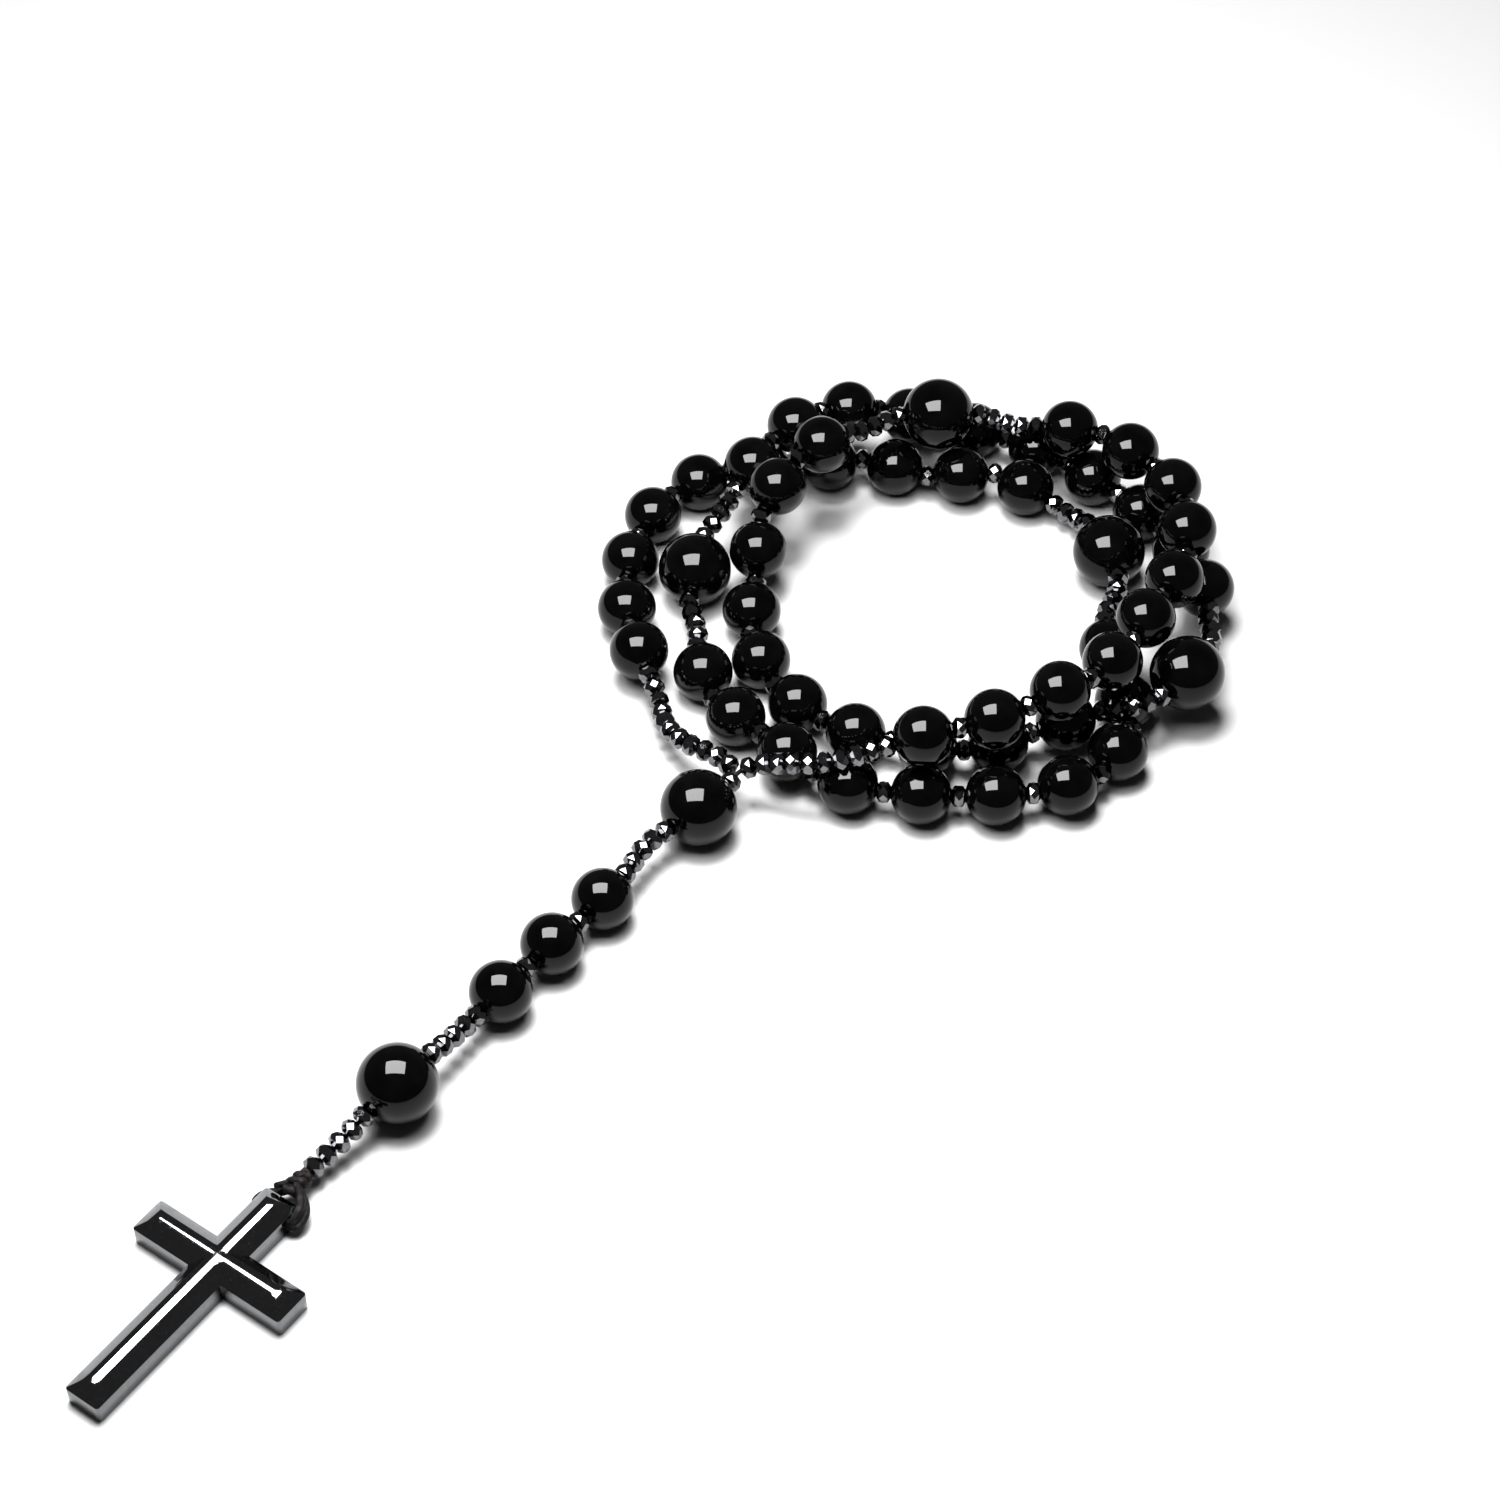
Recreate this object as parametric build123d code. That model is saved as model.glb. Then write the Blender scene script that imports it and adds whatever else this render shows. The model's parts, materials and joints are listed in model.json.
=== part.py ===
from build123d import *
import math
import os

import numpy as np

# A five-decade rosary laid down as a loose coil. Millimetres, +Z up.
# Origin: the crossing of the cross's two bars, on its flat back, which lies on the table.
# Every bead and spacer is a link of one strand, held end to end on a waxed cord.

# beads and spacers
SMALL_BEAD_RADIUS = 4.0
LARGE_BEAD_RADIUS = 5.0
BEAD_BORE_RADIUS = 0.55
MOUTH_RADIUS = 1.2          # countersunk mouth of a bead's bore, where the spacer nests
MOUTH_DEPTH = 0.9
NEST_DEPTH = 0.07           # how far a spacer's face would sit inside the mouth's rim, pushed home
SPACER_RADIUS = 1.475
SPACER_LENGTH = 1.9
SPACER_FACE_RADIUS = 0.72
SPACER_BAND_HALF = 0.36     # half the width of the flat band round a spacer's middle
SPACER_BORE_RADIUS = 0.5
SPACER_SIDES = 8
SPACER_ROLL = 17            # degrees that each spacer is turned on the cord from the one before

# cord and play on it
CORD_RADIUS = 0.3
BEAD_PLAY = 0.10            # free cord that a bead adds at its two mouths
SPACER_PLAY = 0.20          # free cord between two spacers
FORK_CORD = 1.25            # bare cord of each strand above the junction spacer
CONTACT_GAP = 0.10          # left between pieces that lie against each other

# cross
CROSS_BAR = 5.0
CROSS_HEAD = 11.1           # from the crossing to the end of the head
CROSS_FOOT = 23.0
CROSS_ARM = 11.25
CROSS_WALL = 2.7            # height of the upright side walls
CROSS_BEVEL = 1.45
CROSS_CORNER = 0.45
CROSS_BACK_EDGE = 0.25
CROSS_TURN = 54.3           # degrees from +X to the head
EYE_RADIUS = 0.72           # cord hole through the head, from side to side
EYE_ALONG = 9.2
EYE_HEIGHT = 1.75

# knot and the cord's loop through the cross
# Places are along the cross's own axis, across it and above the table.
LOOP_CORD_RADIUS = 0.5
KNOT_LOBES = [(12.95, 0.25, 2.3, 1.1), (14.5, -0.15, 2.4, 1.05)]    # the last number is the radius
KNOT_END = 15.6             # along the cross, where the drop's last piece meets the knot
KNOT_END_HEIGHT = 2.4
LOOP_SIDE = 3.35            # how far out the loop's strands run beside the head
LOOP_SHOULDER = 11.4        # where they turn in towards the knot
LOOP_BEND_RADIUS = 1.0
LOOP_TOP = (12.9, 0.35, 2.2)

# The strand's route over the table, by stretch: centre line points chosen where it bends.
JUNCTION = (59, 75, 5.5)
DROP_END = (KNOT_END * math.cos(math.radians(CROSS_TURN)), KNOT_END * math.sin(math.radians(CROSS_TURN)),
            KNOT_END_HEIGHT)
DROP_ROUTE = [JUNCTION, (57.5, 73.5, 5.5), (54, 69.5, 5), (50, 65, 5), (42.5, 53.5, 4), (36.5, 46.5, 4),
              (31, 39.5, 4), (25, 31, 4.5), (19, 23.5, 5), (15.5, 19.5, 4), DROP_END]
RIGHT_STRAND = [JUNCTION, (65.5, 73.5, 8), (72.5, 73, 9.5), (80.5, 74.5, 11)]
DECADE_1 = [RIGHT_STRAND[-1], (84.5, 75.5, 12), (94, 78.5, 12), (102.5, 83, 12.5), (109.5, 89, 12),
            (115, 95.5, 11.5), (118, 104, 11.5), (120, 112.5, 12), (119.5, 122.5, 11.5),
            (114, 130.5, 11), (106, 135.5, 11), (102.5, 136.5, 10.5)]
FATHER_1 = [DECADE_1[-1], (98, 137, 10.5), (88, 138, 12), (79, 134, 12.5), (74.5, 131.5, 13)]
DECADE_2 = [FATHER_1[-1], (71.5, 129.5, 13), (65, 122.5, 12), (62, 116.5, 7.5), (61.5, 107.5, 5),
            (62.5, 97.5, 4), (67, 89.5, 4), (74, 83.5, 4.5), (83.5, 81, 4), (93.5, 80, 4),
            (103, 83, 4), (106.5, 83.5, 5)]
FATHER_2 = [DECADE_2[-1], (111, 85, 7), (119.5, 89, 8), (122, 99, 7), (124, 104.5, 7)]
DECADE_3 = [FATHER_2[-1], (124.5, 108, 6.5), (121.5, 117, 5), (117, 125, 4), (111, 132.5, 4),
            (103.5, 138.5, 4), (95, 143, 4), (85, 145, 5), (76.5, 143, 9), (68, 138, 11),
            (62, 129.5, 10), (60, 126, 9)]
FATHER_3 = [DECADE_3[-1], (57.5, 122, 7.5), (53.5, 113.5, 5), (54, 104, 4.5), (54.5, 98, 4)]
DECADE_4 = [FATHER_3[-1], (54.5, 94.5, 4), (58.5, 86.5, 4), (65.5, 80, 5), (73, 73, 4), (81.5, 72.5, 4),
            (91.5, 71.5, 4), (101.5, 75, 4.5), (110.5, 79.5, 4.5), (111.5, 89, 4), (110, 98.5, 5),
            (110, 102.5, 5)]
FATHER_4 = [DECADE_4[-1], (110.5, 109, 5), (111, 118.5, 5.5), (106, 125, 3), (103.5, 128.5, 4)]
DECADE_5 = [FATHER_4[-1], (101, 131, 4.5), (92.5, 132.5, 4), (82.5, 135, 4), (74, 136.5, 4),
            (64, 134.5, 4), (55, 132.5, 4), (48.5, 125.5, 4), (45, 116, 4), (45, 106.5, 4.5),
            (46.5, 97, 5), (48, 93, 5)]
LEFT_STRAND = [DECADE_5[-1], (49.5, 88, 4.5), (53.5, 79.5, 5), JUNCTION]

SPACER, SMALL, LARGE, CORD = "spacer", "small", "large", "cord"
RUN = [SPACER] * 5
DECADE = [SMALL, SPACER] * 9 + [SMALL]
DROP_PIECES = [SPACER, LARGE] + RUN + [SMALL, SPACER, SMALL, SPACER, SMALL] + RUN + [LARGE] + RUN
LOOP_STRETCHES = [
    ("strand_right", [CORD] + [SPACER] * 10, RIGHT_STRAND),
    ("decade_1", DECADE, DECADE_1), ("father_1", RUN + [LARGE] + RUN, FATHER_1),
    ("decade_2", DECADE, DECADE_2), ("father_2", RUN + [LARGE] + RUN, FATHER_2),
    ("decade_3", DECADE, DECADE_3), ("father_3", RUN + [LARGE] + RUN, FATHER_3),
    ("decade_4", DECADE, DECADE_4), ("father_4", RUN + [LARGE] + RUN, FATHER_4),
    ("decade_5", DECADE, DECADE_5), ("strand_left", [SPACER] * 11 + [CORD], LEFT_STRAND),
]
PIECE_RADIUS = {SPACER: SPACER_RADIUS, SMALL: SMALL_BEAD_RADIUS, LARGE: LARGE_BEAD_RADIUS, CORD: CORD_RADIUS}

# settling: how the laid strand comes to rest on the table and on itself
SETTLE_ROUNDS = 2600
QUIET_ROUNDS = 900          # last rounds, with no weight and no pull to the route
WEIGHT = 0.004
ROUTE_PULL = 0.02
LARGEST_BEND = math.radians(17)            # at a bead's mouth
LARGEST_SPACER_BEND = math.radians(11)     # between two spacers


def seat(radius):
    """Distance from a bead's centre to the face of the spacer that nests in its mouth."""
    return math.sqrt(radius**2 - MOUTH_RADIUS**2) - NEST_DEPTH


def link_length(kind):
    """Length of strand that one piece takes, with its share of the play at both ends."""
    if kind == CORD:
        return FORK_CORD
    if kind == SPACER:
        return SPACER_LENGTH + SPACER_PLAY
    return 2 * seat(PIECE_RADIUS[kind]) + BEAD_PLAY


def smooth_curve(points, steps=40):
    """A curve through the points, as a dense line."""
    ends = [2 * points[0] - points[1], *points, 2 * points[-1] - points[-2]]
    line = [points[0]]
    for p, q, r, s in zip(ends, ends[1:], ends[2:], ends[3:]):
        for t in np.arange(1, steps + 1) / steps:
            bend = 2 * q + (r - p) * t + (2 * p - 5 * q + 4 * r - s) * t**2 + (3 * q - p - 3 * r + s) * t**3
            line.append(bend / 2)
    return np.array(line)


def lay_along(route, lengths):
    """The ends of links with these lengths, shared out along the route."""
    line = smooth_curve([np.array(p, float) for p in route])
    walked = np.concatenate([[0], np.cumsum(np.linalg.norm(np.diff(line, axis=0), axis=1))])
    wanted = np.concatenate([[0], np.cumsum(lengths)]) / sum(lengths) * walked[-1]
    return np.stack([np.interp(wanted, walked, line[:, n]) for n in range(3)], axis=1)


def lay_strand():
    """Every link of the rosary as (stretch, kind, first end, last end), and the ends' places."""
    links, ends = [], []

    def add(name, kinds, route, closes=False):
        lengths = [link_length(kind) for kind in kinds]
        laid = list(lay_along(route, lengths))
        first = 0 if ends else None
        if name not in ("drop", "strand_right"):
            first = len(ends) - 1
        if first is None:
            ends.append(laid[0])
            first = 0
        for number, kind in enumerate(kinds):
            last = number == len(kinds) - 1 and closes
            if not last:
                ends.append(laid[number + 1])
            tail = 0 if last else len(ends) - 1
            links.append((name, kind, first, tail, lengths[number]))
            first = tail

    add("drop", DROP_PIECES, DROP_ROUTE)
    for name, kinds, route in LOOP_STRETCHES:
        add(name, kinds, route, closes=name == "strand_left")
    return links, np.array(ends)


def touching_pairs(links):
    """Pairs of pieces that may lie against each other, and how close their centres may come."""
    near, pairs, room = {}, [], []
    for number, (_, _, a, b, _) in enumerate(links):
        near.setdefault(a, []).append(number)
        near.setdefault(b, []).append(number)
    solid = [number for number, link in enumerate(links) if link[1] != CORD]
    for at, i in enumerate(solid):
        for j in solid[at + 1:]:
            if {links[i][2], links[i][3]} & {links[j][2], links[j][3]}:
                continue
            reach = PIECE_RADIUS[links[i][1]] + PIECE_RADIUS[links[j][1]] + CONTACT_GAP
            if links[i][1] == links[j][1] == SPACER:
                reach = 2 * SPACER_LENGTH if abs(i - j) == 2 else reach
            pairs.append((i, j))
            room.append(reach)
    return np.array(pairs), np.array(room)


def settle(links, ends):
    """Let the strand rest: links keep their length, pieces stay apart and above the table."""
    start, tail = np.array([l[2] for l in links]), np.array([l[3] for l in links])
    length = np.array([l[4] for l in links])
    radius = np.array([PIECE_RADIUS[l[1]] for l in links])
    pairs, room = touching_pairs(links)
    laid, place = ends.copy(), ends.copy()
    joined = [(i, i + 1) for i in range(len(links) - 1) if tail[i] == start[i + 1]]
    joined = np.array([(i, j) for i, j in joined if CORD not in (links[i][1], links[j][1])])
    before, after = start[joined[:, 0]], tail[joined[:, 1]]
    one, two = length[joined[:, 0]], length[joined[:, 1]]
    spacers = [links[i][1] == links[j][1] == SPACER for i, j in joined]
    largest = np.where(spacers, LARGEST_SPACER_BEND, LARGEST_BEND)
    least_span = np.sqrt(one**2 + two**2 + 2 * one * two * np.cos(largest))
    heavy = np.where(radius > 2, 1.0, 0.15)
    knot_end = len(DROP_PIECES)

    def push(first, second, span, wanted, share):
        """Move ends so that each pair's span comes nearer the wanted one."""
        now = np.linalg.norm(span, axis=1)
        step = ((now - wanted) / now * share)[:, None] * span
        np.add.at(place, first, step)
        np.add.at(place, second, -step)

    for round_number in range(SETTLE_ROUNDS):
        quiet = round_number > SETTLE_ROUNDS - QUIET_ROUNDS
        if not quiet:
            place += ROUTE_PULL * (laid - place)
            np.add.at(place[:, 2], start, -WEIGHT * heavy)
            np.add.at(place[:, 2], tail, -WEIGHT * heavy)
        centre = (place[start] + place[tail]) / 2
        span = centre[pairs[:, 1]] - centre[pairs[:, 0]]
        now = np.linalg.norm(span, axis=1)
        close = now < room
        step = ((now - room) / now * 0.4)[close, None] * span[close]
        for side, way in ((0, 1), (1, -1)):
            piece = pairs[close, side]
            np.add.at(place, start[piece], way * step)
            np.add.at(place, tail[piece], way * step)
        lift = np.maximum(radius - (place[start, 2] + place[tail, 2]) / 2, 0) * 0.8
        np.add.at(place[:, 2], start, lift)
        np.add.at(place[:, 2], tail, lift)
        for _ in range(6):
            bent = np.linalg.norm(place[after] - place[before], axis=1) < least_span
            push(before[bent], after[bent], (place[after] - place[before])[bent], least_span[bent], 0.4)
            for half in (0, 1):
                own = np.arange(half, len(links), 2)
                push(start[own], tail[own], place[tail[own]] - place[start[own]], length[own], 0.5)
            place[knot_end] = laid[knot_end]
    return place


# --- solids ---


def on_link(first, last, roll=0):
    """The place at a link's middle, with Z along the link and X level, rolled about the link."""
    along = Vector(*(last - first)).normalized()
    level = Vector(0, 0, 1).cross(along).normalized()
    middle = Vector(*((first + last) / 2))
    return Plane(origin=middle, x_dir=level, z_dir=along).location * Location((0, 0, 0), (0, 0, roll))


def make_bead(radius):
    """A round bead about Z, bored through, with a countersunk mouth at each end."""
    rim = math.sqrt(radius**2 - MOUTH_RADIUS**2)
    throat = rim - MOUTH_DEPTH
    side = ThreePointArc((MOUTH_RADIUS, 0, -rim), (radius, 0, 0), (MOUTH_RADIUS, 0, rim))
    inside = Polyline((MOUTH_RADIUS, 0, rim), (BEAD_BORE_RADIUS, 0, throat),
                      (BEAD_BORE_RADIUS, 0, -throat), (MOUTH_RADIUS, 0, -rim))
    return revolve(make_face(Wire([*side.edges(), *inside.edges()])), Axis.Z)


def make_spacer():
    """An eight-sided faceted spacer about Z: a flat band with a tapered crown at each end, bored through."""
    half = SPACER_LENGTH / 2
    rings = []
    for radius, height in ((SPACER_FACE_RADIUS, -half), (SPACER_RADIUS, -SPACER_BAND_HALF),
                           (SPACER_RADIUS, SPACER_BAND_HALF), (SPACER_FACE_RADIUS, half)):
        turns = [math.tau * (n + 0.5) / SPACER_SIDES for n in range(SPACER_SIDES)]
        rings.append([Vector(radius * math.cos(t), radius * math.sin(t), height) for t in turns])
    facets = [Face(Wire.make_polygon(rings[0])), Face(Wire.make_polygon(rings[-1]))]
    for low, high in zip(rings, rings[1:]):
        for n in range(SPACER_SIDES):
            after = (n + 1) % SPACER_SIDES
            facets.append(Face(Wire.make_polygon([low[n], low[after], high[after], high[n]])))
    return Solid(Shell(facets)) - Cylinder(SPACER_BORE_RADIUS, 2 * SPACER_LENGTH)


def make_cross():
    """A plain bevelled cross lying on its back, its head along +X, with the cord's eye through the head."""
    half = CROSS_BAR / 2
    corners = [(CROSS_HEAD, -half), (CROSS_HEAD, half), (half, half), (half, CROSS_ARM),
               (-half, CROSS_ARM), (-half, half), (-CROSS_FOOT, half), (-CROSS_FOOT, -half),
               (-half, -half), (-half, -CROSS_ARM), (half, -CROSS_ARM), (half, -half)]
    cross = extrude(make_face(Polyline(corners, close=True)), CROSS_WALL + CROSS_BEVEL)
    cross = chamfer(cross.faces().sort_by(Axis.Z)[-1].edges(), CROSS_BEVEL)
    cross = chamfer(cross.faces().sort_by(Axis.Z)[0].edges(), CROSS_BACK_EDGE)

    def at_an_end(edge):
        return max(abs(edge.center().X), abs(edge.center().Y)) > 2 * CROSS_BAR - CROSS_BEVEL

    upright = [e for e in cross.edges().filter_by(Axis.Z) if at_an_end(e)]
    mitres = [e for e in cross.edges() if e.center().Z > CROSS_WALL and at_an_end(e)
              and abs(abs(e.tangent_at(0.5).Z) - 1 / math.sqrt(3)) < 0.001]
    cross = fillet(upright + mitres, CROSS_CORNER)
    eye = Location((EYE_ALONG, 0, EYE_HEIGHT), (90, 0, 0)) * Cylinder(EYE_RADIUS, 2 * CROSS_BAR)
    return cross - eye


def make_knot():
    """The knot that ends the cord: two turns drawn tight, as two rounded lobes with a waist between."""
    (*low, low_radius), (*high, high_radius) = KNOT_LOBES
    span = Vector(*high) - Vector(*low)
    waist_at = (span.length**2 + low_radius**2 - high_radius**2) / (2 * span.length)
    waist = math.sqrt(low_radius**2 - waist_at**2)
    half_turn = math.sqrt(0.5)
    low_lobe = ThreePointArc((0, -low_radius), (low_radius, 0), (waist, waist_at))
    high_lobe = ThreePointArc((waist, waist_at), (high_radius, span.length),
                              (high_radius * half_turn, span.length + high_radius * half_turn))
    crown = ThreePointArc(high_lobe @ 1, (high_radius * math.sin(math.pi / 8),
                          span.length + high_radius * math.cos(math.pi / 8)), (0, span.length + high_radius))
    outline = Wire([*low_lobe.edges(), *high_lobe.edges(), *crown.edges(),
                    *Line(crown @ 1, (0, -low_radius)).edges()])
    profile = Plane.XZ * make_face(outline)
    knot = revolve(profile, Axis.Z)
    return Plane(origin=low, z_dir=span).location * knot


def corner_radii(points, largest=math.inf):
    """The radius of the arc at each inner point of a cord's route."""
    radii = []
    for before, here, after in zip(points, points[1:], points[2:]):
        coming, going = here - before, after - here
        turn = math.radians(coming.get_angle(going))
        run = min(coming.length, going.length)
        radii.append(min(0.45 * run / math.tan(turn / 2), largest))
    return radii


def make_cord(name, points, radius, radii):
    """A round cord along the points, as straight runs joined by tangent arcs."""
    path = FilletPolyline(*points, radius=radii)
    section = Plane(origin=path @ 0, z_dir=path % 0) * Circle(radius)
    cord = sweep(section, path=path)
    wanted = math.pi * radius**2 * path.length
    print(f"{name}: {path.length:.1f} mm long, radii {min(radii):.2f} to {max(radii):.0f} mm,"
          f" volume {cord.volume / wanted:.4f} of section times length")
    return cord


def make_cross_loop(knot):
    """The cord's loop through the eye, both strands ending in the knot."""
    turn = [(LOOP_TOP[0], LOOP_TOP[1]), (LOOP_SHOULDER, LOOP_SIDE), (EYE_ALONG, LOOP_SIDE)]
    points = [Vector(along, across, EYE_HEIGHT) for along, across in turn]
    points += [Vector(along, -across, EYE_HEIGHT) for along, across in reversed(turn)]
    points[0] = Vector(*LOOP_TOP)
    points[-1] = Vector(LOOP_TOP[0], -LOOP_TOP[1], LOOP_TOP[2])
    return make_cord("cross_loop", points, LOOP_CORD_RADIUS, corner_radii(points, LOOP_BEND_RADIUS)) - knot


def make_strand_cords(links, ends):
    """The cord of the loop, from under the centre bead right round and back to the fork, and the drop's."""
    place = [Vector(*end) for end in ends]
    bead_end = 2        # the ends run: the fork, under the junction spacer, under the centre bead
    first = links[len(DROP_PIECES)][3]
    around = [place[bead_end], place[1], place[0], *place[first:]]
    loop = make_cord("loop_cord", around, CORD_RADIUS, corner_radii(around))
    last = [place[-1], place[0]]
    closing = Solid.extrude(Plane(last[0], z_dir=last[1] - last[0]) * Circle(CORD_RADIUS).face(),
                            last[1] - last[0])
    drop = place[bead_end:len(DROP_PIECES) + 1]
    return loop + closing, make_cord("drop_cord", drop, CORD_RADIUS, corner_radii(drop))


def drop_names():
    """A node name for each piece of the drop, counted from the fork."""
    names, spacer, prayer = [], 0, 0
    for number, kind in enumerate(DROP_PIECES):
        if number < 2:
            names.append(("junction_spacer", "center_bead")[number])
        elif kind == SPACER:
            spacer += 1
            names.append(f"drop_spacer_{spacer:02d}")
        elif kind == SMALL:
            prayer += 1
            names.append(f"drop_small_bead_{prayer}")
        else:
            names.append("drop_large_bead")
    return names


def loop_node(stretch, kind, beads_passed):
    """The node that a piece of the loop belongs to."""
    if stretch.startswith("father"):
        if kind == LARGE:
            return f"{stretch}_bead"
        return f"{stretch}_spacers_{'after' if beads_passed else 'before'}"
    return f"{stretch}_{'spacers' if kind == SPACER else 'beads'}"


def place_pieces(links, ends):
    """Every bead and spacer at its place on the strand, by node."""
    shapes = {SPACER: make_spacer(), SMALL: make_bead(SMALL_BEAD_RADIUS), LARGE: make_bead(LARGE_BEAD_RADIUS)}
    nodes, beads_passed, own_names = {}, {}, drop_names()
    for number, (stretch, kind, first, last, _) in enumerate(links):
        if kind == CORD:
            continue
        if stretch == "drop":
            node = own_names[number]
        else:
            node = loop_node(stretch, kind, beads_passed.get(stretch, 0))
            if kind != SPACER:
                beads_passed[stretch] = beads_passed.get(stretch, 0) + 1
        place = on_link(ends[first], ends[last], SPACER_ROLL * number)
        nodes.setdefault(node, []).append(place * shapes[kind])
    return nodes


def main():
    links, ends = lay_strand()
    ends = settle(links, ends)
    on_table = Location((0, 0, 0), (0, 0, CROSS_TURN))
    knot = make_knot()
    loop_cord, drop_cord = make_strand_cords(links, ends)
    nodes = place_pieces(links, ends)
    nodes["loop_cord"] = [loop_cord]
    nodes["drop_cord"] = [drop_cord]
    nodes["knot"] = [on_table * knot]
    nodes["cross_loop"] = [on_table * make_cross_loop(knot)]
    nodes["cross"] = [on_table * make_cross()]
    os.makedirs("parts", exist_ok=True)
    for name, pieces in nodes.items():
        shape = pieces[0] if len(pieces) == 1 else Compound(children=pieces)
        export_step(shape, f"parts/{name}.step")


main()
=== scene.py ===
import json
import math

import bpy
import bmesh
import numpy as np
from mathutils import Matrix, Vector

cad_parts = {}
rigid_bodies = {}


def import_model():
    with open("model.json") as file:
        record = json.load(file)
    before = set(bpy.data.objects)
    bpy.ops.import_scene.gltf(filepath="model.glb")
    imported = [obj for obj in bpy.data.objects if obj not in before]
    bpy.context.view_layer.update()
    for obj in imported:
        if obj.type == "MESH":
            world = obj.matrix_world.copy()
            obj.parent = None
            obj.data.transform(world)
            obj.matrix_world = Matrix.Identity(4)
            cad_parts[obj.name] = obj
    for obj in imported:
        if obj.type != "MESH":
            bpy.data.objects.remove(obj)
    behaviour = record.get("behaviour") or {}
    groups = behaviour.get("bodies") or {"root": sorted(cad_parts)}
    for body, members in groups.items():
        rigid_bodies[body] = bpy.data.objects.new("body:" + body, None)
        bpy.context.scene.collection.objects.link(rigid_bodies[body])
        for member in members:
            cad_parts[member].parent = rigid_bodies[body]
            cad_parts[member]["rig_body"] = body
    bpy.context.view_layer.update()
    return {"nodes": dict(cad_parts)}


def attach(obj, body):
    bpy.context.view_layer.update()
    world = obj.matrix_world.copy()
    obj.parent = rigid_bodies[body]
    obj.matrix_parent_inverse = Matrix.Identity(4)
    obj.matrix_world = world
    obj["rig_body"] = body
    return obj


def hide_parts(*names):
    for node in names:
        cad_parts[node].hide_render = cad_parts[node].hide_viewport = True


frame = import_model()

MM = 0.001
NEAR = 0.01 * MM            # two places closer than this are the same

# beads
SMALL_BEAD = 4.0 * MM
LARGE_BEAD = 5.0 * MM
MOUTH = 1.2 * MM            # countersunk mouth of the bore
THROAT = 0.55 * MM
MOUTH_DEPTH = 0.9 * MM
MOUTH_EDGE = 0.09 * MM      # the mouth's broken edge
SMALL_SIDES, LARGE_SIDES = 56, 64
BEAD_SHARP = 35             # degrees from which an edge stays sharp

# spacers: an eight-sided rondelle, diamonds round its middle and a crown of facets at each end
SPACER_SIDES = 8
SPACER = 1.475 * MM
SPACER_WAIST = 1.363 * MM   # the diamonds' upper and lower points
SPACER_WAIST_AT = 0.55 * MM
SPACER_END_AT = 0.95 * MM
SPACER_END_INSET = 0.54 * MM
SPACER_BORE_INSET = 0.27 * MM
SPACER_ROLL = 37            # degrees that each spacer is turned past the one before

# cross, lying on its back with its head along +X before it is turned
CROSS_BAR = 5.0 * MM
CROSS_HEAD = 11.1 * MM
CROSS_FOOT = 23.0 * MM
CROSS_ARM = 11.25 * MM
CROSS_WALL = 2.7 * MM
CROSS_HEIGHT = 4.15 * MM
CROWN_RADIUS = 1.7 * MM     # of the rounded ridge along each bar
CROWN_STEPS = (1.0, 0.86, 0.72, 0.58, 0.44, 0.32, 0.20, 0.10, 0.02)   # towards the ridge's middle
CROSS_CORNER = 0.42 * MM    # rounding of the outer corners
CROSS_EDGE = 0.10 * MM      # rounding of every other edge
EDGE_SHARP, CROSS_SHARP = 38, 32        # degrees from which an edge is rounded, and stays sharp
CROSSING_HALF = 1.35 * MM   # how far from the crossing its rounded shading reaches
END_RUN = 2.6 * MM          # from a bar's end to where its hips have run out
END_FROM = 8.4 * MM         # further out than this is a bar's end
HIP_RISE = 0.9 * MM
CROSS_TURN = math.radians(54.3)
EYE_ALONG = 9.2 * MM
EYE_HEIGHT = 1.75 * MM
EYE_RADIUS = 0.72 * MM
BARS = (((1, 0, 0), CROSS_HEAD), ((-1, 0, 0), CROSS_FOOT), ((0, 1, 0), CROSS_ARM), ((0, -1, 0), CROSS_ARM))

# cord: thin inside the drop's pieces, a stretch to each, and thick with wax at the cross
CORD = 0.3 * MM
LINK = {"spacer": 2.1 * MM, "small": 7.59 * MM, "large": 9.67 * MM}
STRAND, CORE, TAIL = 0.55, 0.85, 0.4    # radii in millimetres
STRAND_STEPS = 10
CORD_SHARP = 60

# camera and lights, in millimetres from the crossing of the cross
CAMERA_AT = (61.3, -229.1, 330.7)
CAMERA_TILT = 43.4
CAMERA_LENS = 82.32
PANEL_AT = (15.0, 56.5, 192.0)
PANEL_SIZE = (174.0, 130.0)
PANEL_POWER = 2.65
GAUZE_ACROSS, GAUZE_DOWN = 26, 18       # its openings
GAUZE_THREAD = 0.006
GAUZE_UNEVEN, GAUZE_SHADE = 0.93, 0.72  # light let through by the dimmest openings and by the threads
FILL_AT = (0.0, 190.0, 740.0)
FILL_AIM = (62.0, 112.0, 0.0)
FILL_POWER = 130.0
FILL_CONE = math.radians(58)
FILL_FADE = 0.75
FILL_RADIUS = 0.15
ROOM_GREY = 0.09
TABLE_GREY = 0.16
TABLE_SIZE = 6.0
TABLE_MIDDLE = (0.06, 0.05, 0)


# ---------------------------------------------------------------- shaping tools


def nothing_selected():
    if bpy.context.object and bpy.context.object.mode != "OBJECT":
        bpy.ops.object.mode_set(mode="OBJECT")
    bpy.ops.object.select_all(action="DESELECT")


def take(obj):
    nothing_selected()
    obj.select_set(True)
    bpy.context.view_layer.objects.active = obj


def named(name):
    """Names the primitive that was just added."""
    obj = bpy.context.object
    obj.name = name
    obj.data.name = name
    return obj


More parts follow.
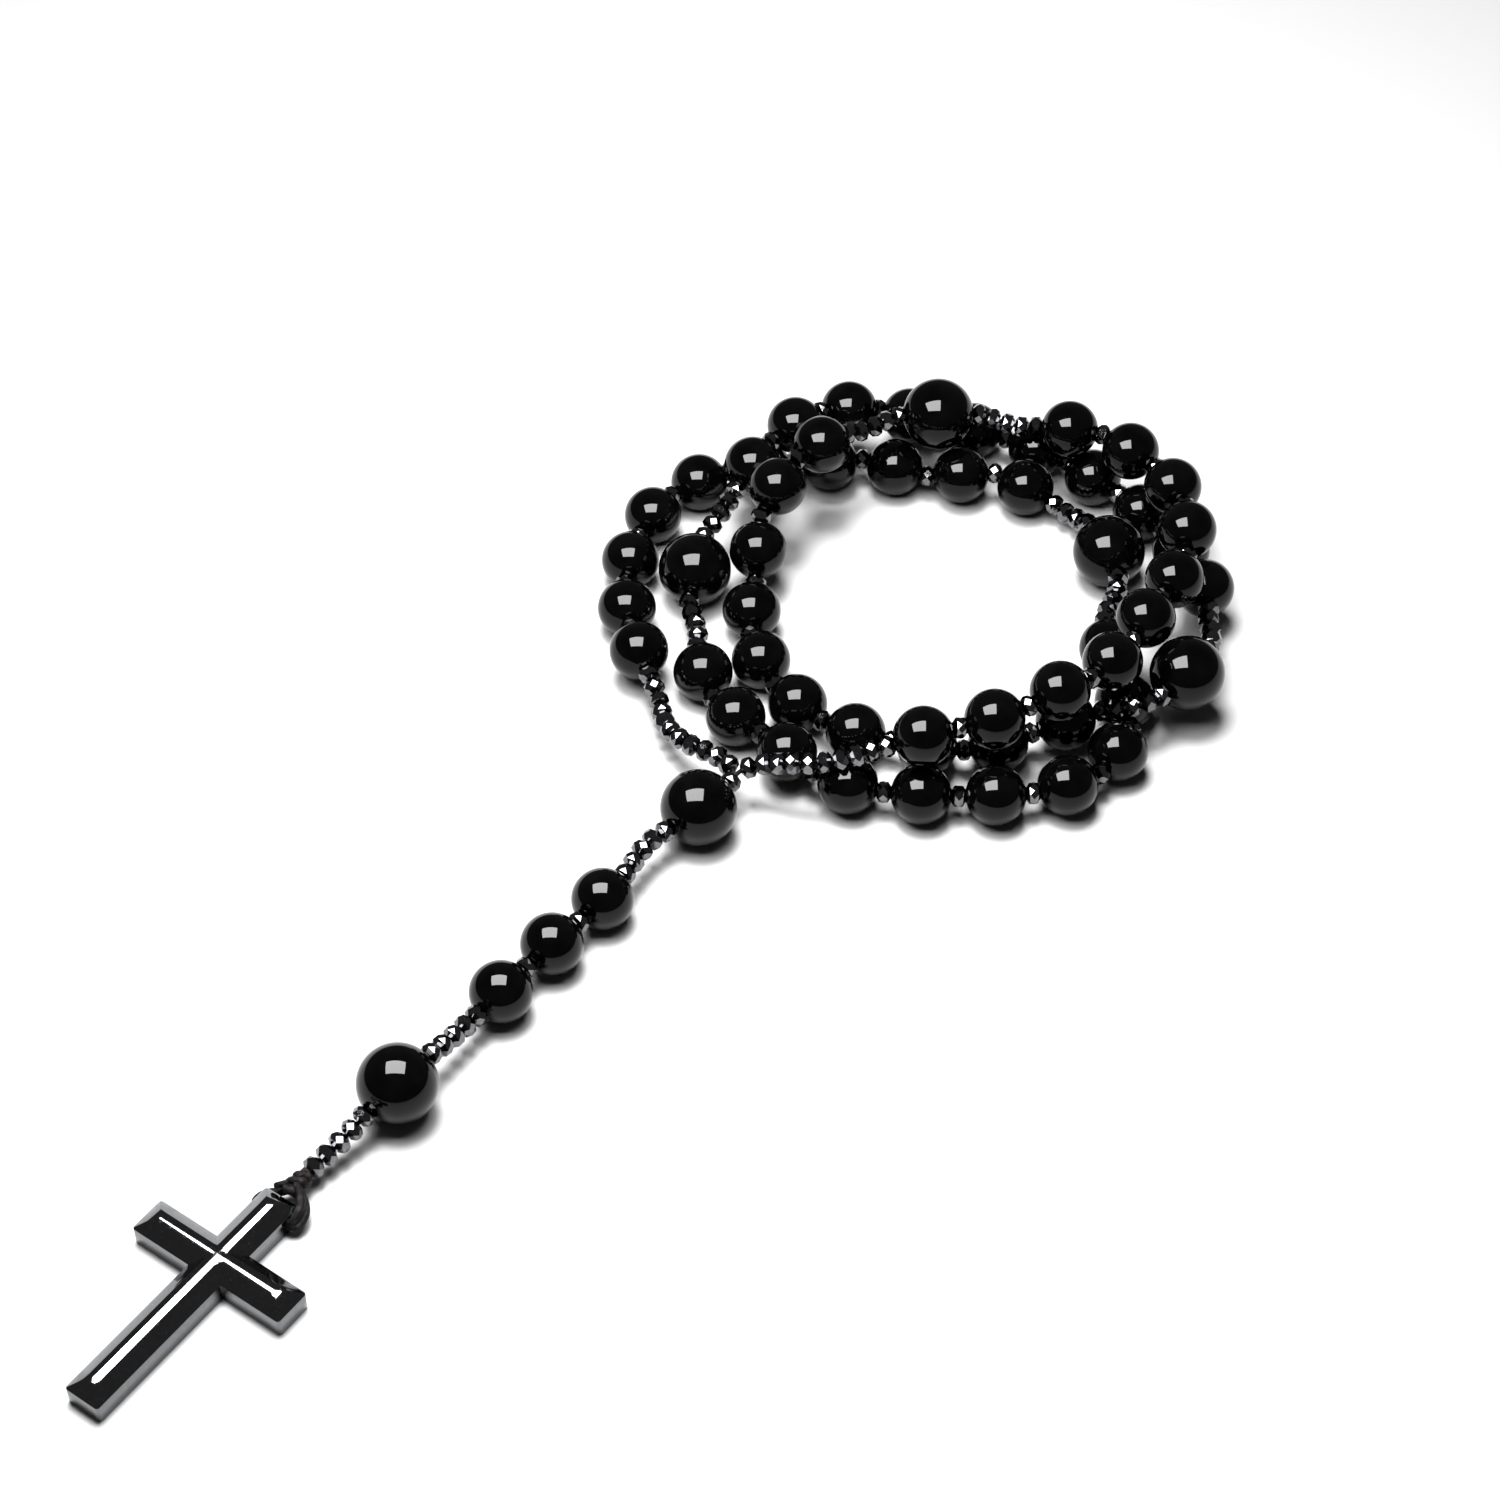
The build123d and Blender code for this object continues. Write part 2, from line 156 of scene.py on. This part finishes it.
def pick(obj, kind, wanted):
    """Opens obj in edit mode with only the faces, edges or corners selected that wanted() accepts."""
    take(obj)
    bpy.ops.object.mode_set(mode="EDIT")
    bpy.ops.mesh.select_mode(type=kind)
    bpy.ops.mesh.select_all(action="DESELECT")
    mesh = bmesh.from_edit_mesh(obj.data)
    for thing in {"FACE": mesh.faces, "EDGE": mesh.edges, "VERT": mesh.verts}[kind]:
        if wanted(thing):
            thing.select_set(True)
    mesh.select_flush_mode()
    bmesh.update_edit_mesh(obj.data)


def middle_of(edge):
    return (edge.verts[0].co + edge.verts[1].co) / 2


def modify(obj, kind, **settings):
    take(obj)
    modifier = obj.modifiers.new(kind.lower(), kind)
    for name, value in settings.items():
        setattr(modifier, name, value)
    bpy.ops.object.modifier_apply(modifier=modifier.name)
    nothing_selected()


def facing_out(obj):
    pick(obj, "FACE", lambda face: True)
    bpy.ops.mesh.remove_doubles(threshold=0.0005 * MM)
    bpy.ops.mesh.normals_make_consistent(inside=False)
    nothing_selected()


def smooth(obj, degrees):
    take(obj)
    bpy.ops.object.shade_smooth_by_angle(angle=math.radians(degrees))
    nothing_selected()


def copy_at(master, place, name):
    """A copy of the master piece with its own mesh, its place in the mesh itself."""
    piece = master.copy()
    piece.data = master.data.copy()
    piece.data.transform(place)
    bpy.context.scene.collection.objects.link(piece)
    piece.name = name
    piece.data.name = name
    return piece


def joined(pieces, name):
    nothing_selected()
    for piece in pieces:
        piece.select_set(True)
    bpy.context.view_layer.objects.active = pieces[0]
    if len(pieces) > 1:
        bpy.ops.object.join()
    pieces[0].name = name
    pieces[0].data.name = name
    nothing_selected()
    return pieces[0]


def remove(obj):
    nothing_selected()
    bpy.data.objects.remove(obj)


# ---------------------------------------------------------------- where the pieces lie


def solids_of(node):
    """The corner points of each separate solid in a CAD node."""
    data = frame["nodes"][node].data
    spots, number, leader = {}, [], []

    def lead(n):
        while leader[n] != n:
            leader[n] = leader[leader[n]]
            n = leader[n]
        return n

    for vertex in data.vertices:
        key = tuple(round(c / MM, 2) for c in vertex.co)
        if key not in spots:
            spots[key] = len(leader)
            leader.append(len(leader))
        number.append(spots[key])
    for edge in data.edges:
        leader[lead(number[edge.vertices[0]])] = lead(number[edge.vertices[1]])
    groups = {}
    for key, n in spots.items():
        groups.setdefault(lead(n), []).append(key)
    return [np.array(points) * MM for points in groups.values()]


def lie_of(points):
    """A bead's or spacer's middle and its direction along the cord, from the rings round its bore."""
    middle = (points.min(axis=0) + points.max(axis=0)) / 2
    reach = np.linalg.norm(points - middle, axis=1)
    inner = points[reach < 0.85 * reach.max()]
    middle = (inner.min(axis=0) + inner.max(axis=0)) / 2
    along = np.linalg.eigh(np.cov((inner - middle).T))[1][:, -1]
    return Vector(middle), Vector(along)


def on_cord(middle, along, roll=0.0):
    """The matrix that puts a piece made about Z at its place on the cord."""
    level = Vector((0, 0, 1)).cross(along).normalized()
    turned = Matrix((level, along.cross(level), along)).transposed().to_4x4()
    return Matrix.Translation(middle) @ turned @ Matrix.Rotation(roll, 4, "Z")


def kind_of(node):
    if "spacer" in node:
        return "spacer"
    large = node == "center_bead" or "large" in node or node.startswith("father")
    return "large" if large else "small"


# ---------------------------------------------------------------- material tools


class Wire:
    """A socket in a material's nodes, with the arithmetic that the finishes use."""

    def __init__(self, paint, socket):
        self.paint, self.socket = paint, socket

    def _maths(self, operation, *values):
        return self.paint.node("ShaderNodeMath", {"operation": operation}, dict(enumerate(values)))

    def __add__(self, other):
        return self._maths("ADD", self, other)

    def __mul__(self, other):
        return self._maths("MULTIPLY", self, other)

    __radd__, __rmul__ = __add__, __mul__

    def ramp(self, low, high):
        """0 at low, 1 at high, and level beyond."""
        return self.paint.node("ShaderNodeMapRange", {"clamp": True},
                               {"Value": self, "From Min": low, "From Max": high})


def grey(light):
    return (light, light, light, 1)


class Paint:
    """A material under construction."""

    def __init__(self, name):
        self.material = bpy.data.materials.new(name)
        self.material.use_nodes = True
        self.tree = self.material.node_tree
        self.shader = self.tree.nodes["Principled BSDF"]

    def node(self, kind, settings, inputs, output=0):
        made = self.tree.nodes.new(kind)
        for name, value in settings.items():
            setattr(made, name, value)
        self.feed(made, inputs)
        return Wire(self, made.outputs[output])

    def feed(self, node, inputs):
        for name, value in inputs.items():
            if isinstance(value, Wire):
                self.tree.links.new(value.socket, node.inputs[name])
            else:
                node.inputs[name].default_value = value

    def place(self):
        return self.node("ShaderNodeTexCoord", {}, {}, "Object")

    def noise(self, scale, detail=2.0, roughness=0.5):
        """Soft blotches, scale of them to the millimetre."""
        return self.node("ShaderNodeTexNoise", {},
                         {"Vector": self.place(), "Scale": scale / MM, "Detail": detail,
                          "Roughness": roughness}, "Fac")

    def between(self, amount, low, high):
        """A colour that goes from low to high."""
        return self.node("ShaderNodeMix", {"data_type": "RGBA"}, {0: amount, 6: (*low, 1), 7: (*high, 1)}, 2)

    def bump(self, height, depth, strength):
        return self.node("ShaderNodeBump", {}, {"Height": height, "Distance": depth, "Strength": strength})

    def finish(self, **inputs):
        self.feed(self.shader, {name.replace("_", " "): value for name, value in inputs.items()})
        return self.material


def onyx():
    """Polished black stone: glassy, with the faintest clouding and a few dust specks on it."""
    paint = Paint("polished_black_onyx")
    cloud = paint.noise(0.35, 3).ramp(0.35, 0.75)
    dust = paint.noise(4.2, 1).ramp(0.79, 0.84)
    colour = paint.between(cloud, (0.0001, 0.0001, 0.0001), (0.0004, 0.0004, 0.0004))
    return paint.finish(Base_Color=colour, Roughness=0.03 + 0.025 * cloud + 0.1 * dust, IOR=1.28)


def hematite(name, rough):
    """Dark grey mirror-bright stone with a faint grain."""
    paint = Paint(name)
    grain = paint.noise(2.4, 4, 0.65).ramp(0.3, 0.75)
    colour = paint.between(grain, (0.120, 0.116, 0.122), (0.190, 0.190, 0.200))
    return paint.finish(Base_Color=colour, Metallic=1.0, Roughness=rough + 0.05 * grain)


def cross_stone():
    """The cross's hematite: the same stone, with pits and fine wear from its polishing."""
    paint = Paint("polished_hematite_cross")
    grain = paint.noise(2.0, 5, 0.7)
    specks = paint.noise(5.5, 2).ramp(0.66, 0.74)
    colour = paint.between(grain.ramp(0.3, 0.75), (0.125, 0.127, 0.134), (0.180, 0.183, 0.190))
    rough = 0.055 + 0.035 * grain.ramp(0.35, 0.7) + 0.2 * specks
    normal = paint.bump(grain + 0.5 * specks, 0.002 * MM, 0.2)
    return paint.finish(Base_Color=colour, Metallic=1.0, Roughness=rough, Normal=normal)


def waxed_cord():
    """Black waxed thread, with brown-grey fibres where the wax has rubbed off."""
    paint = Paint("black_waxed_cord")
    fibres = paint.noise(5.0, 5, 0.7)
    worn = paint.noise(1.1, 2).ramp(0.54, 0.70) * fibres.ramp(0.35, 0.6)
    colour = paint.between(worn, (0.0005, 0.00045, 0.0005), (0.014, 0.011, 0.0095))
    normal = paint.bump(fibres, 0.12 * MM, 0.9)
    return paint.finish(Base_Color=colour, Roughness=0.5 + 0.3 * worn, IOR=1.2, Normal=normal)


# ---------------------------------------------------------------- beads and spacers


def make_bead(name, radius, segments):
    """A round bead about Z with a bored, countersunk mouth at each end."""
    nothing_selected()
    bpy.ops.mesh.primitive_uv_sphere_add(segments=segments, ring_count=segments // 2, radius=radius)
    bead = named(name)
    rim = math.sqrt(radius**2 - MOUTH**2)
    for side in (1, -1):
        pick(bead, "FACE", lambda face: True)
        bpy.ops.mesh.bisect(plane_co=(0, 0, side * rim), plane_no=(0, 0, side), clear_outer=True)
    for side in (1, -1):
        pick(bead, "EDGE", lambda edge: edge.is_boundary and middle_of(edge).z * side > 0)
        bpy.ops.mesh.extrude_edges_move(TRANSFORM_OT_translate={"value": (0, 0, -side * MOUTH_DEPTH)})
        size = THROAT / MOUTH
        bpy.ops.transform.resize(value=(size, size, 1), center_override=(0, 0, 0))
    pick(bead, "EDGE", lambda edge: edge.is_boundary)
    bpy.ops.mesh.bridge_edge_loops()
    pick(bead, "EDGE", lambda edge: all(abs(abs(v.co.z) - rim) < 0.002 * MM for v in edge.verts))
    bpy.ops.mesh.bevel(offset=MOUTH_EDGE, segments=2)
    facing_out(bead)
    smooth(bead, BEAD_SHARP)
    return bead


def make_spacer():
    """A faceted rondelle about Z: diamonds round its middle and a cut crown at each end."""
    nothing_selected()
    bpy.ops.mesh.primitive_cylinder_add(vertices=SPACER_SIDES, radius=SPACER_WAIST,
                                        depth=2 * SPACER_WAIST_AT, end_fill_type="NGON")
    spacer = named("spacer_master")
    flat = SPACER_WAIST * math.cos(math.pi / SPACER_SIDES)
    pick(spacer, "FACE", lambda face: abs(face.normal.z) < 0.5)
    bpy.ops.mesh.poke(offset=SPACER - flat)
    pick(spacer, "EDGE", lambda edge: abs(middle_of(edge).z) < NEAR
         and abs(edge.verts[0].co.z - edge.verts[1].co.z) > SPACER_WAIST_AT)
    bpy.ops.mesh.dissolve_edges(use_verts=False)
    pick(spacer, "FACE", lambda face: abs(face.normal.z) > 0.99)
    bpy.ops.mesh.inset(thickness=SPACER_END_INSET, depth=SPACER_END_AT - SPACER_WAIST_AT)
    bpy.ops.mesh.inset(thickness=SPACER_BORE_INSET, depth=0)
    bpy.ops.mesh.bridge_edge_loops()
    facing_out(spacer)
    take(spacer)
    bpy.ops.object.shade_flat()
    nothing_selected()
    return spacer


def make_link_cord(kind):
    """The stretch of cord inside one piece, about Z, with round ends that turn on the next one's."""
    nothing_selected()
    bpy.ops.mesh.primitive_uv_sphere_add(segments=16, ring_count=8, radius=CORD)
    cord = named(f"cord_in_{kind}")
    for side in (1, -1):
        pick(cord, "VERT", lambda vertex: vertex.co.z * side > NEAR)
        bpy.ops.transform.translate(value=(0, 0, side * LINK[kind] / 2))
    nothing_selected()
    smooth(cord, CORD_SHARP)
    return cord


# ---------------------------------------------------------------- cross


def make_cross():
    """A plain cross on its flat back: upright walls, sloping sides and a rounded ridge that ends in hips."""
    nothing_selected()
    half = CROSS_BAR / 2
    bpy.ops.mesh.primitive_plane_add(size=CROSS_BAR)
    cross = named("cross_stone")
    for way, length in BARS:
        pick(cross, "EDGE", lambda edge: (middle_of(edge) - Vector(way) * half).length < NEAR)
        bpy.ops.mesh.extrude_edges_move(TRANSFORM_OT_translate={"value": Vector(way) * (length - half)})
    pick(cross, "FACE", lambda face: True)
    bpy.ops.mesh.dissolve_faces()
    pick(cross, "FACE", lambda face: True)
    bpy.ops.mesh.extrude_region_move(TRANSFORM_OT_translate={"value": (0, 0, CROSS_WALL)})
    out, height = half, CROSS_WALL
    for step in CROWN_STEPS:
        wanted, top = step * MM, crown_height(step * MM)
        pick(cross, "FACE", lambda face: face.normal.z > 0.9 and len(face.verts) == 12
             and face.calc_center_median().z > height - 0.001 * MM)
        bpy.ops.mesh.inset(thickness=out - wanted, depth=top - height, use_even_offset=True)
        out, height = wanted, top
    facing_out(cross)
    hold_straight(cross)
    round_corners(cross)
    bore_eye(cross)
    modify(cross, "BEVEL", width=CROSS_EDGE, segments=2, limit_method="ANGLE",
           angle_limit=math.radians(EDGE_SHARP), use_clamp_overlap=True)
    smooth(cross, CROSS_SHARP)
    cross.data.transform(Matrix.Rotation(CROSS_TURN, 4, "Z"))
    return cross


def crown_height(across):
    """The rounded ridge's height, so far from its middle."""
    return CROSS_HEIGHT - CROWN_RADIUS + math.sqrt(CROWN_RADIUS**2 - across**2)


def hold_straight(cross):
    """Cuts across each bar, beside the crossing and before its end, keep the ridge's shading straight."""
    for way, length in BARS:
        for reach in (CROSSING_HALF, length - END_RUN):
            pick(cross, "FACE", lambda face: True)
            bpy.ops.mesh.bisect(plane_co=Vector(way) * reach, plane_no=way)
    nothing_selected()


def round_corners(cross):
    """Rounds the eight outer corners, up the walls and along the slopes' hips."""
    def outer_corner(edge):
        a, b = edge.verts[0].co, edge.verts[1].co
        at_an_end = max(abs(c) for c in middle_of(edge).xy) > END_FROM
        upright = abs(a.x - b.x) < NEAR and abs(a.y - b.y) < NEAR
        hip = abs(abs(a.x - b.x) - abs(a.y - b.y)) < NEAR and abs(a.z - b.z) > HIP_RISE
        return at_an_end and (upright or hip)

    pick(cross, "EDGE", outer_corner)
    bpy.ops.mesh.bevel(offset=CROSS_CORNER, segments=4, clamp_overlap=True)
    nothing_selected()


def bore_eye(cross):
    """The cord's hole through the head from side to side."""
    bpy.ops.mesh.primitive_cylinder_add(vertices=32, radius=EYE_RADIUS, depth=2 * CROSS_BAR,
                                        location=(EYE_ALONG, 0, EYE_HEIGHT),
                                        rotation=(math.radians(90), 0, 0))
    drill = named("drill")
    take(drill)
    bpy.ops.object.transform_apply(location=True, rotation=True, scale=True)
    modify(cross, "BOOLEAN", object=drill, operation="DIFFERENCE", solver="EXACT")
    remove(drill)


# ---------------------------------------------------------------- knot and loop

# Places are along the cross, across it, and above the table, in millimetres.
LOOP_OVER = [(13.4, -0.2, 2.9), (12.7, -1.3, 3.1), (12.0, -2.2, 3.1), (11.1, -2.9, 3.0), (10.2, -3.15, 2.7),
             (9.4, -3.15, 2.2), (9.1, -2.6, 1.85), (9.2, -1.2, 1.75), (9.2, 1.2, 1.75), (9.2, 2.5, 1.5),
             (9.6, 3.05, 1.1), (10.6, 3.1, 1.0), (11.4, 2.7, 1.0), (12.0, 1.8, 1.2), (12.5, 0.9, 1.5),
             (13.3, 0.2, 1.9)]
LOOP_UNDER = [(13.4, -0.5, 2.0), (12.6, -1.9, 2.1), (11.8, -3.0, 2.0), (10.8, -3.6, 1.8), (9.8, -3.7, 1.6),
              (9.1, -3.3, 1.5), (9.05, -2.6, 1.6), (9.2, -1.2, 1.7)]
KNOT_TURNS = [(12.2, 0.5, 2.9), (12.2, -0.7, 3.0), (12.9, -1.0, 2.0), (13.4, 0.0, 1.4), (13.4, 1.1, 2.0),
              (13.3, 0.5, 3.1), (13.9, -0.6, 3.2), (14.4, -0.9, 2.2), (14.3, 0.0, 1.5), (14.6, 0.8, 2.2),
              (14.2, 0.4, 3.2), (14.9, -0.4, 3.2), (15.2, -0.7, 2.4), (15.0, 0.1, 1.7), (15.3, 0.4, 2.5),
              (15.7, 0.0, 2.4)]
KNOT_CORE = [(12.6, 0.2, 2.2), (13.2, 0.2, 2.25), (14.2, -0.1, 2.35), (15.0, 0.0, 2.4), (15.7, 0.0, 2.4)]
TAIL_END = [(13.0, 0.6, 3.0), (12.5, 1.1, 2.8), (12.0, 1.4, 2.9), (11.7, 1.4, 3.1)]


def strand(name, points, radius):
    """A round strand of cord along a smooth line, closed at its ends."""
    curve = bpy.data.curves.new(name, "CURVE")
    curve.dimensions = "3D"
    curve.bevel_depth = radius * MM
    curve.bevel_resolution = 3
    curve.use_fill_caps = True
    line = curve.splines.new("NURBS")
    line.points.add(len(points) - 1)
    for spot, (along, across, height) in zip(line.points, points):
        spot.co = (along * MM, across * MM, height * MM, 1)
    line.order_u = 3
    line.use_endpoint_u = True
    line.resolution_u = STRAND_STEPS
    obj = bpy.data.objects.new(name, curve)
    bpy.context.scene.collection.objects.link(obj)
    take(obj)
    bpy.ops.object.convert(target="MESH")
    made = bpy.context.object
    smooth(made, CORD_SHARP)
    return made


def tied(strands, name):
    """Joins the strands and turns them with the cross."""
    piece = joined(strands, name)
    piece.data.transform(Matrix.Rotation(CROSS_TURN, 4, "Z"))
    return piece


def make_knot():
    """The drawn-tight knot that ends the cord: turns wound round a core."""
    return tied([strand("knot_turns", KNOT_TURNS, STRAND), strand("knot_core", KNOT_CORE, CORE),
                 strand("knot_tail", TAIL_END, TAIL)], "waxed_knot")


def make_cross_loop():
    """The loop of doubled cord through the cross's eye."""
    return tied([strand("loop_over", LOOP_OVER, STRAND), strand("loop_under", LOOP_UNDER, STRAND)],
                "waxed_cross_loop")


# ---------------------------------------------------------------- putting it together


def finish_piece(piece, node, material):
    """Gives a piece its finish and puts it in its CAD node's stead."""
    piece.data.materials.clear()
    piece.data.materials.append(material)
    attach(piece, frame["nodes"][node]["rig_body"])
    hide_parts(node)


def string_beads(finishes):
    """Every bead and spacer at its place, and the drop's cord inside its own pieces."""
    masters = {"small": make_bead("small_bead_master", SMALL_BEAD, SMALL_SIDES),
               "large": make_bead("large_bead_master", LARGE_BEAD, LARGE_SIDES), "spacer": make_spacer()}
    cords = {kind: make_link_cord(kind) for kind in masters}
    count = 0
    for node in sorted(frame["nodes"]):
        if node in ("loop_cord", "drop_cord", "cross_loop", "knot", "cross"):
            continue
        kind = kind_of(node)
        pieces = []
        for points in solids_of(node):
            middle, along = lie_of(points)
            count += 1
            roll = math.radians(SPACER_ROLL * count) if kind == "spacer" else 0.0
            pieces.append(copy_at(masters[kind], on_cord(middle, along, roll), f"{node}_{len(pieces)}"))
        piece = joined(pieces, f"{node}_cut" if kind == "spacer" else f"{node}_polished")
        slot = "hematite" if kind == "spacer" else "onyx"
        finish_piece(piece, node, finishes[slot])
        if node.startswith("drop_"):
            cord = copy_at(cords[kind], on_cord(middle, along), f"cord_in_{node}")
            finish_piece(cord, "drop_cord", finishes["waxed_cord"])
            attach(cord, node)
    for master in (*masters.values(), *cords.values()):
        remove(master)


def add_camera():
    data = bpy.data.cameras.new("camera")
    data.sensor_width = 36
    data.lens = CAMERA_LENS
    data.clip_start = 0.01
    data.clip_end = 10
    camera = bpy.data.objects.new("camera", data)
    camera.location = Vector(CAMERA_AT) * MM
    camera.rotation_euler = (math.radians(CAMERA_TILT), 0, 0)
    bpy.context.scene.collection.objects.link(camera)
    bpy.context.scene.camera = camera


def add_panel():
    """The studio's one lamp that shows in the stone: a soft panel behind fine gauze."""
    data = bpy.data.lights.new("panel", "AREA")
    data.shape = "RECTANGLE"
    data.size, data.size_y = PANEL_SIZE[0] * MM, PANEL_SIZE[1] * MM
    data.energy = PANEL_POWER
    gauze(data)
    panel = bpy.data.objects.new("panel", data)
    panel.location = Vector(PANEL_AT) * MM
    panel.visible_camera = False
    bpy.context.scene.collection.objects.link(panel)
    return panel


def gauze(lamp):
    """The fine cloth over the lamp: thin darker threads both ways across it."""
    lamp.use_nodes = True
    tree = lamp.node_tree
    where = tree.nodes.new("ShaderNodeNewGeometry")
    threads = tree.nodes.new("ShaderNodeTexBrick")
    threads.offset = 0
    for name, light in (("Color1", 1.0), ("Color2", GAUZE_UNEVEN), ("Mortar", GAUZE_SHADE)):
        threads.inputs[name].default_value = grey(light)
    threads.inputs["Scale"].default_value = 1
    threads.inputs["Mortar Size"].default_value = GAUZE_THREAD
    threads.inputs["Brick Width"].default_value = 1 / GAUZE_ACROSS
    threads.inputs["Row Height"].default_value = 1 / GAUZE_DOWN
    tree.links.new(where.outputs["Parametric"], threads.inputs["Vector"])
    tree.links.new(threads.outputs["Color"], tree.nodes["Emission"].inputs["Color"])


def add_fill():
    """A soft pool of light from above that only whitens the table round the rosary."""
    data = bpy.data.lights.new("fill", "SPOT")
    data.energy = FILL_POWER
    data.spot_size = FILL_CONE
    data.spot_blend = FILL_FADE
    data.shadow_soft_size = FILL_RADIUS
    fill = bpy.data.objects.new("fill", data)
    fill.location = Vector(FILL_AT) * MM
    aim = Vector(FILL_AIM) * MM - fill.location
    fill.rotation_euler = aim.to_track_quat("-Z", "Y").to_euler()
    fill.visible_glossy = False
    bpy.context.scene.collection.objects.link(fill)


def add_floor():
    nothing_selected()
    bpy.ops.mesh.primitive_plane_add(size=TABLE_SIZE, location=TABLE_MIDDLE)
    table = named("table")
    bpy.ops.object.transform_apply(location=True, rotation=True, scale=True)
    paint = Paint("white_table")
    table.data.materials.append(paint.finish(Base_Color=grey(TABLE_GREY), Roughness=0.9, IOR=1.1))
    nothing_selected()


def add_surroundings():
    """A dark room round the table, which looks white only to the camera."""
    world = bpy.data.worlds.new("room")
    bpy.context.scene.world = world
    world.use_nodes = True
    tree = world.node_tree
    tree.nodes.clear()
    out = tree.nodes.new("ShaderNodeOutputWorld")
    mix = tree.nodes.new("ShaderNodeMixShader")
    rays = tree.nodes.new("ShaderNodeLightPath")
    dark, pale = tree.nodes.new("ShaderNodeBackground"), tree.nodes.new("ShaderNodeBackground")
    dark.inputs["Color"].default_value = grey(ROOM_GREY)
    pale.inputs["Color"].default_value = grey(1)
    tree.links.new(rays.outputs["Is Camera Ray"], mix.inputs["Fac"])
    tree.links.new(dark.outputs["Background"], mix.inputs[1])
    tree.links.new(pale.outputs["Background"], mix.inputs[2])
    tree.links.new(mix.outputs["Shader"], out.inputs["Surface"])
    bpy.context.scene.view_settings.view_transform = "Standard"


def main():
    add_camera()
    add_panel()
    add_fill()
    add_floor()
    add_surroundings()
    finishes = {"onyx": onyx(), "hematite": hematite("cut_hematite_spacers", 0.03),
                "hematite_cross": cross_stone(), "waxed_cord": waxed_cord()}
    string_beads(finishes)
    finish_piece(make_cross(), "cross", finishes["hematite_cross"])
    finish_piece(make_knot(), "knot", finishes["waxed_cord"])
    finish_piece(make_cross_loop(), "cross_loop", finishes["waxed_cord"])
    cord = frame["nodes"]["loop_cord"]
    cord.data.materials.clear()
    cord.data.materials.append(finishes["waxed_cord"])


main()
